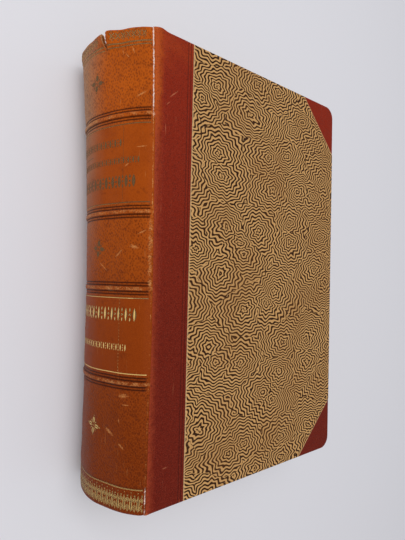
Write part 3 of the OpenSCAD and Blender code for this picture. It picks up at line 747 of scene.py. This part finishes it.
# Materials
def linear(r, g, b):
    """A colour as it looks on a screen, 0 to 255, in Blender's linear values."""
    c = np.array([r, g, b]) / 255
    c = np.where(c <= 0.04045, c / 12.92, ((c + 0.055) / 1.055) ** 2.4)
    return (*c, 1.0)


class Value:
    """A node's output. Sums, products and the like of numbers add the Math nodes they need."""

    def __init__(self, finish, socket):
        self.finish, self.socket = finish, socket

    def __add__(self, other):
        return self.finish.math("ADD", self, other)

    def __sub__(self, other):
        return self.finish.math("SUBTRACT", self, other)

    def __rsub__(self, other):
        return self.finish.math("SUBTRACT", other, self)

    def __mul__(self, other):
        return self.finish.math("MULTIPLY", self, other)

    def __truediv__(self, other):
        return self.finish.math("DIVIDE", self, other)

    def __pow__(self, other):
        return self.finish.math("POWER", self, other)

    def __abs__(self):
        return self.finish.math("ABSOLUTE", self)


class Finish:
    """A node material, built by short calls: each gives the output of the node that it adds.
    Colours are written as they look on a screen, and over() lays one more on the colour so far."""

    def __init__(self, name, roughness, **shader):
        self.material = bpy.data.materials.new(name)
        self.material.use_nodes = True
        self.tree = self.material.node_tree
        self.tree.nodes.clear()
        self.out = self.tree.nodes.new("ShaderNodeOutputMaterial")
        self.shader = self.tree.nodes.new("ShaderNodeBsdfPrincipled")
        self.shader.inputs["Roughness"].default_value = roughness
        for key, value in shader.items():
            key = key.replace("_", " ").title().replace("Ior", "IOR")
            self.shader.inputs[key].default_value = value
        self.tree.links.new(self.shader.outputs[0], self.out.inputs["Surface"])

    def put(self, socket, value):
        """Sets a socket to a value or a colour, or links it to another node's output."""
        if isinstance(value, Value):
            value = value.socket
        if isinstance(value, bpy.types.NodeSocket):
            self.tree.links.new(value, socket)
        elif value is not None:
            socket.default_value = linear(*value) if socket.type == "RGBA" else value

    def add(self, kind, inputs, out=0, **settings):
        node = self.tree.nodes.new("ShaderNode" + kind)
        for key, value in settings.items():
            setattr(node, key, value)
        for key, value in inputs.items():
            self.put(node.inputs[key], value)
        return Value(self, node.outputs[out])

    def place(self):
        """Object coordinates in millimetres."""
        return self.vector("MULTIPLY", self.add("TexCoord", {}, "Object"), (1000, 1000, 1000))

    def mark(self, name, vector=False):
        """A value that the mesh carries at its points."""
        return self.add("Attribute", {}, "Vector" if vector else "Fac", attribute_name=name)

    def axes(self, vector):
        """The three numbers of a vector."""
        node = self.add("SeparateXYZ", {0: vector}).socket.node
        return [Value(self, socket) for socket in node.outputs]

    def turned(self, vector, angle=0.0, scale=(1, 1, 1), offset=(0, 0, 0)):
        return self.add("Mapping", {"Vector": vector, "Rotation": (0, 0, angle), "Scale": scale,
                                    "Location": offset})

    def noise(self, vector, scale, detail=3.0, rough=0.5, out="Fac"):
        return self.add("TexNoise", {"Vector": vector, "Scale": scale, "Detail": detail,
                                     "Roughness": rough}, out)

    def cells(self, vector, scale, random, flat):
        return self.add("TexVoronoi", {"Vector": vector, "Scale": scale, "Randomness": random},
                        "Distance", voronoi_dimensions="2D" if flat else "3D")

    def vector(self, operation, a, b=(0, 0, 0), out="Vector"):
        return self.add("VectorMath", {0: a, 1: b}, out, operation=operation)

    def rubbed(self, where, spots):
        """Long spots, brightest in the middle: each is a round fade, stretched from end to end."""
        fades = []
        for x0, y0, x1, y1, width in spots:
            near = self.add("Mapping", {
                "Vector": where, "Location": ((x0 + x1) / 2, (y0 + y1) / 2, 0),
                "Rotation": (0, 0, math.atan2(y1 - y0, x1 - x0)),
                "Scale": (math.hypot(x1 - x0, y1 - y0) / 2, width, 1)}, vector_type="TEXTURE")
            fades.append(self.add("TexGradient", {"Vector": near}, "Fac",
                                  gradient_type="SPHERICAL"))
        return self.most(*fades)

    def math(self, operation, a, b=0.0):
        return self.add("Math", {0: a, 1: b}, operation=operation)

    def sine(self, value):
        return self.math("SINE", value)

    def most(self, first, *others):
        """The largest of several values."""
        for other in others:
            first = self.math("MAXIMUM", first, other)
        return first

    def step(self, value, a, b, low=0.0, high=1.0):
        """Follows value from a to b smoothly between low and high."""
        return self.add("MapRange", {"Value": value, "From Min": a, "From Max": b, "To Min": low,
                                     "To Max": high}, interpolation_type="SMOOTHSTEP")

    def mix(self, factor, a, b):
        return self.add("Mix", {0: factor, 6: a, 7: b}, 2, data_type="RGBA")

    def base(self, factor, a, b):
        """Starts the colour with a mix of two."""
        self.colour = self.mix(factor, a, b)

    def over(self, factor, colour):
        """Lays one more colour over the colour so far."""
        self.colour = self.mix(factor, self.colour, colour)

    def done(self, height, depth, roughness=None, metal=None):
        """Wires colour, relief, whose depth is in millimetres, roughness and metal."""
        for key, value in (("Base Color", self.colour), ("Roughness", roughness),
                           ("Metallic", metal)):
            self.put(self.shader.inputs[key], value)
        bump = self.add("Bump", {"Height": height, "Distance": depth * MM, "Strength": 1.0})
        self.put(self.shader.inputs["Normal"], bump)
        return self.material


def pores(f, where, size, flat):
    """Dark pores in slanting rows: the middles of slightly stretched cells, of uneven strength."""
    rows = f.turned(where, 0.55, (1.2 / size, 0.85 / size, 1 / size))
    strength = f.step(f.noise(where, 0.45 / size, 3), 0.3, 0.62, 0.3, 1.0)
    return f.step(f.cells(rows, 1.0, 0.75, flat), 0.5, 0.12) * strength


def title_fields(f, along):
    """1 in the two title fields of the spine, 0 outside them."""
    return f.most(*(f.step(abs(along - (a + b) / 2), (b - a) / 2 - 3.0, (b - a) / 2 - 4.5)
                    for a, b in (BANDS[:2], BANDS[2:])))


def scratches(f, where, angle, seed, high=0.69):
    """Sparse light lines: noise drawn out long in one direction, only its peaks kept."""
    lines = f.turned(where, angle, (2.2, 0.07, 1), (seed, seed * 2, 0))
    here = f.step(f.noise(where, 0.055, 2), 0.45, 0.6)
    return f.step(f.noise(lines, 1.0, 2), high, high + 0.05) * here


def spine_finish():
    """Leather bleached to orange tan by light, darker at the tail, smooth in the title fields, with
    worn bands, scratches and a ridge line that is tan from wear in the middle and a painted
    highlight, white, at the head. Also painted are a greyish reflection on the low side towards
    the head and light specks of highlight on the grain."""
    f = Finish("faded_spine_leather", 0.6, specular_ior_level=0.05, sheen_weight=0.06,
               sheen_roughness=0.4)
    sheet = f.mark("sheet", True)
    across, along, _ = f.axes(sheet)
    cloud = f.noise(sheet, 0.045, 4, 0.6)
    title = title_fields(f, along)
    pore = pores(f, sheet, 1.25, True) * (title * -0.75 + 1.0)
    fine = f.noise(sheet, 2.6, 4, 0.65)
    grain = pore * -0.8 + fine
    f.base(f.step(cloud * 50 + along, -95, 135), (106, 36, 1), (186, 86, 12))
    f.over(f.step(cloud, 0.35, 0.7, 0, 0.45), (120, 44, 5))
    # Painted reflection: a greyish pink tint on the low side of the spine towards the head stands in
    # for the sheen of the bright surroundings at grazing angles.
    f.over(f.step(across, 9, -12, 0, 0.76) * f.step(along, -10, 70), (172, 136, 100))
    # Painted highlight: light specks on the fine grain stand in for glints on its peaks.
    f.over(f.step(fine, 0.42, 0.68, 0, 0.3), (196, 104, 34))
    f.over(pore * 0.55, (70, 18, 2))
    f.over(title * 0.3, (128, 42, 2))
    f.over(f.step(f.noise(sheet, 0.16, 3, 0.7), 0.55, 0.72, 0, 0.4), (92, 34, 8))
    loose = f.noise(sheet, 1.5, 5, 0.8)
    scored = f.most(scratches(f, sheet, 0.75, 3), scratches(f, sheet, -0.6, 11, 0.71))
    rubs = f.step(f.rubbed(sheet, SPINE_RUBS) ** 0.6 * 0.5 + loose, 0.8, 0.98, 0, 0.66)
    f.over(f.most(scored * 0.5, rubs), (206, 138, 78))
    off = abs(across) - RIDGE
    ends = f.most(f.step(along, 66, 74), f.step(along, -96, -99))
    waver = f.noise(sheet, 0.9, 3, 0.7) * 0.9 + (off - 0.35)
    # A thin line along the ridge: rubbed tan in the middle, and towards the ends a painted highlight.
    thin = f.step(abs(waver), 0.62, 0.12) * (ends * 0.14 + f.step(along, -16, 22, 0.5, 0.56))
    wide = f.step(abs(off + 0.9), 2.4, 0.3) * f.step(abs(along - 6), 21, 15)
    worn = f.most(thin, wide * 0.58, f.mark("worn"))
    scuffs_and_highlight = f.step(f.noise(sheet, 0.35, 2) * 0.5 + (worn + loose), 1.26, 1.5, 0, 0.85)
    # Tan is rubbed leather; the white laid on beside the ridge at the head and tail ends is a painted
    # highlight, the lamp's reflection on the sharp edge.
    f.over(scuffs_and_highlight, f.mix(ends * f.step(off, -0.9, -0.4), (206, 140, 82), (236, 212, 200)))
    f.over(f.mark("groove") * 0.95, (40, 8, 3))
    return f.done(scuffs_and_highlight * -0.3 + grain, 0.11, f.step(grain + scuffs_and_highlight, -0.3, 1.4, 0.4, 0.66))


def side_finish():
    """Dark red-brown leather, more orange beside the ridge and at the head, with rubbed edges, a
    painted highlight line between the two blind lines and light specks of painted highlight on
    the grain.
    """
    f = Finish("red_side_leather", 0.6, specular_ior_level=0.1)
    where = f.place()
    from_joint = f.mark("from_joint")
    pore = pores(f, where, 0.8, False)
    fine = f.noise(where, 2.8, 4, 0.65)
    grain = pore * -0.7 + fine
    cloud = f.noise(where, 0.05, 4, 0.6)
    y = f.axes(where)[1]
    f.base(f.step(cloud * 40 + y, -60, 135), (98, 20, 4), (130, 30, 4))
    near = f.noise(where, 0.35, 3) * 4 + from_joint
    f.over(f.step(near, 4.4, -0.6, 0, 0.85),
           f.mix(f.step(y, 50, 84), (150, 58, 28), (184, 84, 20)))
    ends = f.step(y, 84, 112) * f.step(cloud, 0.3, 0.6) * f.step(from_joint, 26, 20)
    f.over(ends * 0.55, (164, 62, 16))
    # Painted highlight: light pinkish specks on the fine grain stand in for small glints.
    f.over(f.step(fine, 0.48, 0.66, 0, 0.42), (166, 72, 52))
    f.over(pore * 0.6, (60, 10, 3))
    loose = f.noise(where, 1.4, 5, 0.8)
    board = f.vector("SUBTRACT", f.vector("MULTIPLY", where, (1, 1, 0)), (JOINT_X, 0, 0))
    rubs = f.step(f.rubbed(board, SIDE_RUBS) * 0.55 + loose, 0.74, 0.98)
    f.over(f.most(scratches(f, where, -0.7, 5, 0.7) * 0.5, rubs * 0.6), (196, 120, 84))
    # The wear mark holds rubbed ridge, edges and corners, and also the painted highlight line between
    # the blind lines.
    scuffs_and_highlight = f.step(f.mark("worn") + loose, 1.08, 1.4, 0, 0.7)
    f.over(scuffs_and_highlight, (186, 104, 60))
    f.over(f.mark("groove") * 0.75, (44, 8, 4))
    return f.done(scuffs_and_highlight * -0.3 + grain, 0.08, f.step(grain + scuffs_and_highlight, -0.3, 1.4, 0.42, 0.68))


def torn_finish():
    """The light, fibrous flesh of the leather where it is cut or torn."""
    f = Finish("torn_leather", 0.9)
    fibre = f.noise(f.turned(f.place(), 0.3, (3, 0.8, 2)), 1.6, 5, 0.7)
    f.base(f.step(fibre, 0.35, 0.65), (128, 66, 30), (206, 148, 92))
    return f.done(fibre, 0.15)


def paper_finish():
    """Brown lines in even steps on a tan ground. A line's phase is the distance to the nearest of
    many scattered centres, plus a wave that runs along the line: of four sine waves in four
    directions those count that cross the ring's radius. Slow noise bends it all a little."""
    f = Finish("wavy_decorated_paper", 0.7, specular_ior_level=0.12)
    sheet = f.mark("sheet", True)
    even = f.vector("MULTIPLY", sheet, (1 / STRETCH, 1, 0))

    def bent(scale, reach, seed):
        slow = f.noise(f.vector("ADD", even, (seed, 0, 0)), scale, 1, out="Color")
        push = f.vector("MULTIPLY", f.vector("SUBTRACT", slow, (0.5, 0.5, 0.5)), (reach, reach, 0))
        return f.vector("ADD", even, push)

    place, waved = bent(0.045, 9.0, 0), bent(0.07, 4.0, 300)
    rings = f.cells(place, 1 / RING_FIELD, 0.95, True)
    centre, random = (rings.socket.node.outputs[key] for key in ("Position", "Color"))
    radius = f.vector("NORMALIZE", f.vector("SUBTRACT", place, centre))
    total = weights = 0.0
    for k in range(4):
        along = (math.cos(math.pi * k / 4), math.sin(math.pi * k / 4), 0)
        off = f.vector("DOT_PRODUCT", radius, along, "Value")
        weight = (1.0 - off * off) ** 7.0
        way = f.vector("DOT_PRODUCT", waved, along, "Value")
        total = weight * f.sine(way * (2 * math.pi / WAVE) + 1.7 * k) + total
        weights = weight + weights
    phase = rings * (RING_FIELD / LINE_STEP) + f.axes(random)[0]
    phase = total / weights * (WAVE_H / LINE_STEP) + phase
    width = f.sine(phase * (2 * math.pi)) + (f.noise(sheet, 0.5, 2) - 0.5) * 1.2
    fibre = f.noise(f.turned(sheet, 0.2, (1, 3, 1)), 1.4, 5, 0.7)
    f.base(f.step(fibre, 0.3, 0.7), (177, 130, 75), (216, 171, 112))
    f.over(f.step(width, -0.6, 0.1, 0, 0.3), (146, 96, 40))
    f.over(f.step(width, -0.2, 0.24),
           f.mix(f.step(f.noise(sheet, 0.8, 3), 0.3, 0.7), (24, 10, 3), (56, 27, 7)))
    f.over(f.step(f.noise(sheet, 0.028, 4, 0.6), 0.4, 0.75, 0, 0.3), (120, 74, 32))
    rubbed = f.step(f.noise(sheet, 0.9, 4, 0.75), 0.58, 0.7)
    f.over(rubbed * f.step(f.noise(sheet, 0.06, 2), 0.5, 0.6) * 0.5, (222, 196, 156))
    x, y, _ = f.axes(sheet)
    slanting = PAPER_CUT - (x + abs(y))
    edge = f.most(f.step(x, PAPER_X0 + 0.9, PAPER_X0 + 0.3), f.step(slanting, 0.9, 0.2))
    f.over(edge * 0.6, (212, 174, 124))
    return f.done(fibre, 0.02, f.step(fibre, 0.3, 0.7, 0.62, 0.8))


def paper_edge_finish():
    """The cut edge of the decorated paper."""
    f = Finish("paper_cut_edge", 0.85)
    fibre = f.noise(f.place(), 2.0, 4)
    f.base(fibre, (170, 138, 98), (218, 192, 150))
    return f.done(fibre, 0.03)


def pages_finish():
    """Leaf after leaf of aged paper: thin lines that follow the leaves, and browner spots."""
    f = Finish("aged_pages", 0.82, specular_ior_level=0.25)
    leaf = f.mark("leaf")

    def lines(number, detail, rough=0.5):
        return f.add("TexNoise", {"W": leaf * number, "Scale": 1.0, "Detail": detail,
                                  "Roughness": rough}, "Fac", noise_dimensions="1D")

    leaves, gathers = lines(330.0, 3.0, 0.7), lines(30.0, 2.0)
    f.base(f.step(leaves, 0.3, 0.7), (142, 112, 76), (218, 196, 156))
    f.over(f.step(gathers, 0.45, 0.7, 0, 0.4), (168, 134, 92))
    f.over(f.step(f.noise(f.place(), 0.12, 4, 0.65), 0.55, 0.75, 0, 0.5), (150, 108, 66))
    return f.done(leaves, 0.12)


def gold_finish():
    """Gold leaf pressed into leather and mostly rubbed away, greenish brown where it is thin. The
    mark changes from point to point, so the wear is a fine speckle all over the tooling."""
    f = Finish("worn_gold", 0.6, specular_ior_level=0.3)
    sheet = f.mark("sheet", True)
    across, along, _ = f.axes(sheet)
    ends = f.step(abs(along), 94, 98) * f.step(across, -20, 26, 0.14, 0.6)
    ends = ends * f.step(along, -10, 10, 0.1, 1.0)
    title = title_fields(f, along) * f.step(across, -12, 20, 0.34, 0.08)
    rub = f.noise(sheet, 0.11, 2) * 0.45 + f.noise(sheet, 1.5, 4, 0.75) + f.most(ends, title)
    left = f.step(rub, 0.84, 1.02)
    bright = f.mix(f.step(f.noise(sheet, 1.8, 2), 0.35, 0.65), (196, 142, 60), (252, 218, 140))
    dull = f.mix(f.step(f.noise(sheet, 2.2, 3, 0.7), 0.42, 0.62), (62, 34, 12), (128, 92, 44))
    f.base(left, dull, bright)
    return f.done(rub, 0.03, f.step(left, 0, 1, 0.62, 0.36), f.step(left, 0, 1, 0.0, 0.16))


def endpaper_finish():
    """Plain cream endpaper with faint foxing and a few browner clouds."""
    f = Finish("endpaper", 0.84, specular_ior_level=0.25)
    where = f.place()
    fibre = f.noise(where, 1.6, 5, 0.6)
    f.base(fibre, (212, 194, 156), (230, 216, 184))
    fox = f.step(f.noise(where, 0.5, 2), 0.66, 0.76) * f.step(f.noise(where, 0.03, 2), 0.45, 0.65)
    f.over(fox * 0.7, (166, 116, 66))
    f.over(f.step(f.noise(where, 0.015, 3), 0.45, 0.7, 0, 0.35), (190, 160, 112))
    return f.done(fibre, 0.02)


def plain_finish(name, dark, light, size, depth):
    """A matt fibrous stock, such as board or card, between two close colours."""
    f = Finish(name, 0.85, specular_ior_level=0.25)
    where = f.place()
    fibre = f.noise(f.turned(where, 0.4, (1, 2.2, 1.6)), size, 6, 0.7)
    f.base(f.step(fibre, 0.3, 0.7), dark, light)
    f.over(f.step(f.noise(where, 2.6, 2), 0.66, 0.74, 0, 0.4), [0.6 * v for v in dark])
    return f.done(fibre, depth)


def cloth_finish(name, dark, light, pitch=0.7):
    """Plain weave: two crossed sets of thread, as the product of two sine waves."""
    f = Finish(name, 0.9, specular_ior_level=0.2)
    where = f.place()
    _, y, z = f.axes(where)
    turn = 2 * math.pi / pitch
    weave = f.sine(y * turn) * f.sine(z * turn)
    f.base(f.step(weave + f.noise(where, 1.4, 3) * 0.8, -0.8, 1.2), dark, light)
    return f.done(weave, 0.12)


def thread_finish():
    """Red and cream thread in turns, with painted shade darkening the groove between two turns."""
    f = Finish("endband_thread", 0.7, specular_ior_level=0.3)
    lay = f.mark("thread")
    turn = abs(f.sine(lay * math.pi))
    f.base(f.step(f.sine(lay * (math.pi / 4)), -0.1, 0.1), (120, 34, 28), (204, 184, 142))
    # Painted shade: the groove between two turns is darkened where shade falls.
    f.over(f.step(turn, 0.5, 0.05, 0, 0.6), (60, 34, 22))
    return f.done(turn, 0.12)


faded_spine_leather = spine_finish()
red_side_leather = side_finish()
torn_leather = torn_finish()
wavy_paper = paper_finish()
paper_edge = paper_edge_finish()
aged_pages = pages_finish()
worn_gold = gold_finish()
endpaper = endpaper_finish()
linen = cloth_finish("linen", (176, 158, 122), (214, 200, 168))
tape = cloth_finish("woven_tape", (168, 150, 112), (206, 190, 152), 0.9)
endband_thread = thread_finish()
grey_board = plain_finish("grey_board", (138, 122, 98), (172, 156, 128), 0.9, 0.06)
spine_card = plain_finish("spine_card", (148, 126, 92), (184, 162, 122), 1.1, 0.04)
infill_card = plain_finish("infill_card", (170, 150, 116), (200, 182, 148), 1.3, 0.03)


def finish_cad(node, material):
    """Gives a CAD node that stays in view its material."""
    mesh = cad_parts[node].data
    if not mesh.materials:
        mesh.materials.append(material)
    for k in range(len(mesh.materials)):
        mesh.materials[k] = material


# The object
make_spine_leather()
make_gilding()
make_pages()
make_endband(1)
make_endband(-1)
for cover, side in COVERS:
    make_side_leather(cover, side)
    make_paper(cover, side)
    make_corner(cover, side, 1)
    make_corner(cover, side, -1)
for cover, side in COVERS:
    for node, material in (("_board", grey_board), ("_infill", infill_card), ("_tape_slips", tape),
                           ("_pastedown", endpaper), ("_flyleaf", endpaper)):
        finish_cad(cover + node, material)
for node, material in (("spine_inlay", spine_card), ("band_strips", spine_card),
                       ("spine_lining", linen), ("sewing_tapes", tape)):
    finish_cad(node, material)


# Floor, light and camera, in metres
def make_floor():
    """A plain pale table top: a large square that is see-through from below."""
    mesh = bpy.data.meshes.new("table_top")
    half = 3.0
    mesh.from_pydata([(-half, -half, 0), (half, -half, 0), (half, half, 0), (-half, half, 0)], [],
                     [(0, 1, 2, 3)])
    floor = linked("table_top", mesh)
    f = Finish("table_paint", 0.75, specular_ior_level=0.2)
    f.put(f.shader.inputs["Base Color"], (224, 223, 228))
    clear = f.add("BsdfTransparent", {})
    under = f.add("NewGeometry", {}, "Backfacing")
    f.put(f.out.inputs["Surface"],
          f.add("MixShader", {0: under, 1: f.shader.outputs[0], 2: clear}))
    mesh.materials.append(f.material)


def unit(vector):
    """The vector at length 1."""
    return vector / np.linalg.norm(vector)


def aimed(thing, place, right, back):
    """Puts a lamp or a camera at a place, with unit vectors to its right and its back."""
    turn = np.column_stack([right, np.cross(back, right), back])
    thing.matrix_world = Matrix.Translation(place) @ Matrix(turn.tolist()).to_4x4()


def make_lamp(name, place, aim, size, power):
    """A square soft lamp that looks at a point."""
    data = bpy.data.lights.new(name, "AREA")
    data.shape, data.size, data.energy = "SQUARE", size, power
    back = unit(np.subtract(place, aim))
    aimed(linked(name, data), place, unit(np.cross((0, 0, 1.0), back)), back)


def make_camera():
    """The photograph's camera: above and to the left of the spine."""
    data = bpy.data.cameras.new("camera")
    data.sensor_fit, data.sensor_width, data.lens = "AUTO", 36.0, 28.667
    data.clip_start = 0.01
    camera = linked("camera", data)
    right = unit(np.array((0.76903, 0.02353, 0.63878)))
    up = unit(np.cross(right, (0.63825, 0.02656, -0.76937)))
    aimed(camera, (-0.16614, -0.00554, 0.22083), right, np.cross(right, up))
    bpy.context.scene.camera = camera


make_floor()
make_lamp("window_light", (-0.45, 0.30, 1.30), (0, 0, 0.02), size=1.1, power=12.9)
make_camera()
world = bpy.data.worlds.new("soft_room")
world.use_nodes = True
world.node_tree.nodes["Background"].inputs["Color"].default_value = (0.96, 0.97, 1.0, 1)
world.node_tree.nodes["Background"].inputs["Strength"].default_value = 0.45
bpy.context.scene.world = world
bpy.context.scene.view_settings.view_transform = "Standard"
